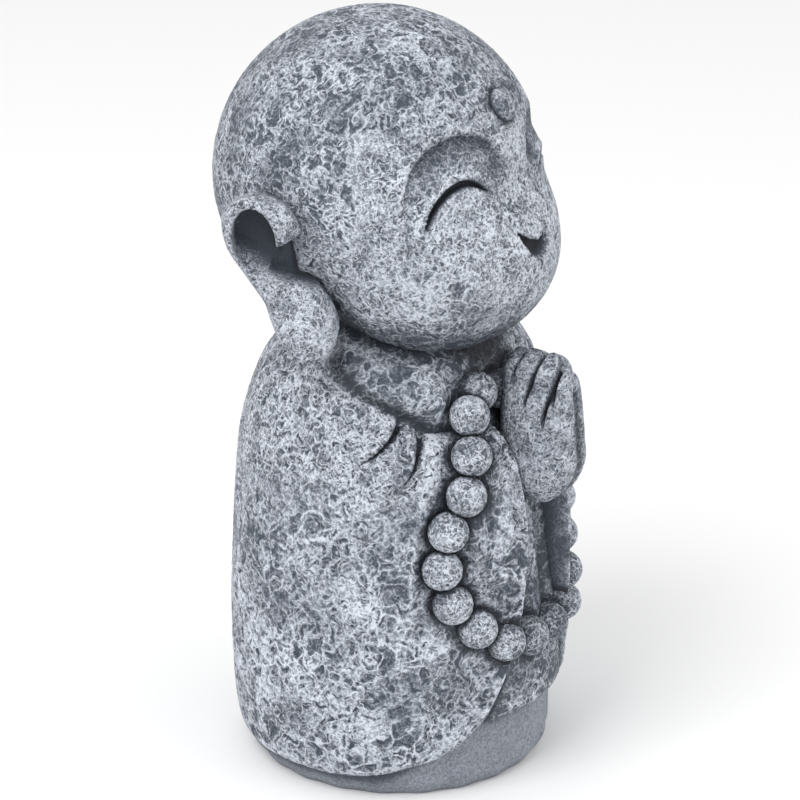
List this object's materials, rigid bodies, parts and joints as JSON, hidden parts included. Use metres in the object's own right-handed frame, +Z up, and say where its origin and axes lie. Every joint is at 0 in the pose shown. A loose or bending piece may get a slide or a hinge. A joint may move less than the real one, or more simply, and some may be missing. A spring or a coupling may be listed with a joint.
{
  "type": "jizo figurine",
  "caption": "Small standing jizo figurine cast in one piece: a round-headed child monk with long ears, palms together, prayer beads and a wide-sleeved robe.",
  "frame": {"origin": "centre of the round underside that the figurine stands on", "axes": "+Z up, the figure faces -Y, and its right side is at -X"},
  "size_m": [0.0592, 0.0556, 0.1087],
  "materials": {
    "cast_stone": "matt cast resin with a stone finish: dark blue-grey, with pale dry-brushed ridges"
  },
  "bodies": {
    "root": {"jizo_figurine": "cast_stone"}
  },
  "joints": []
}
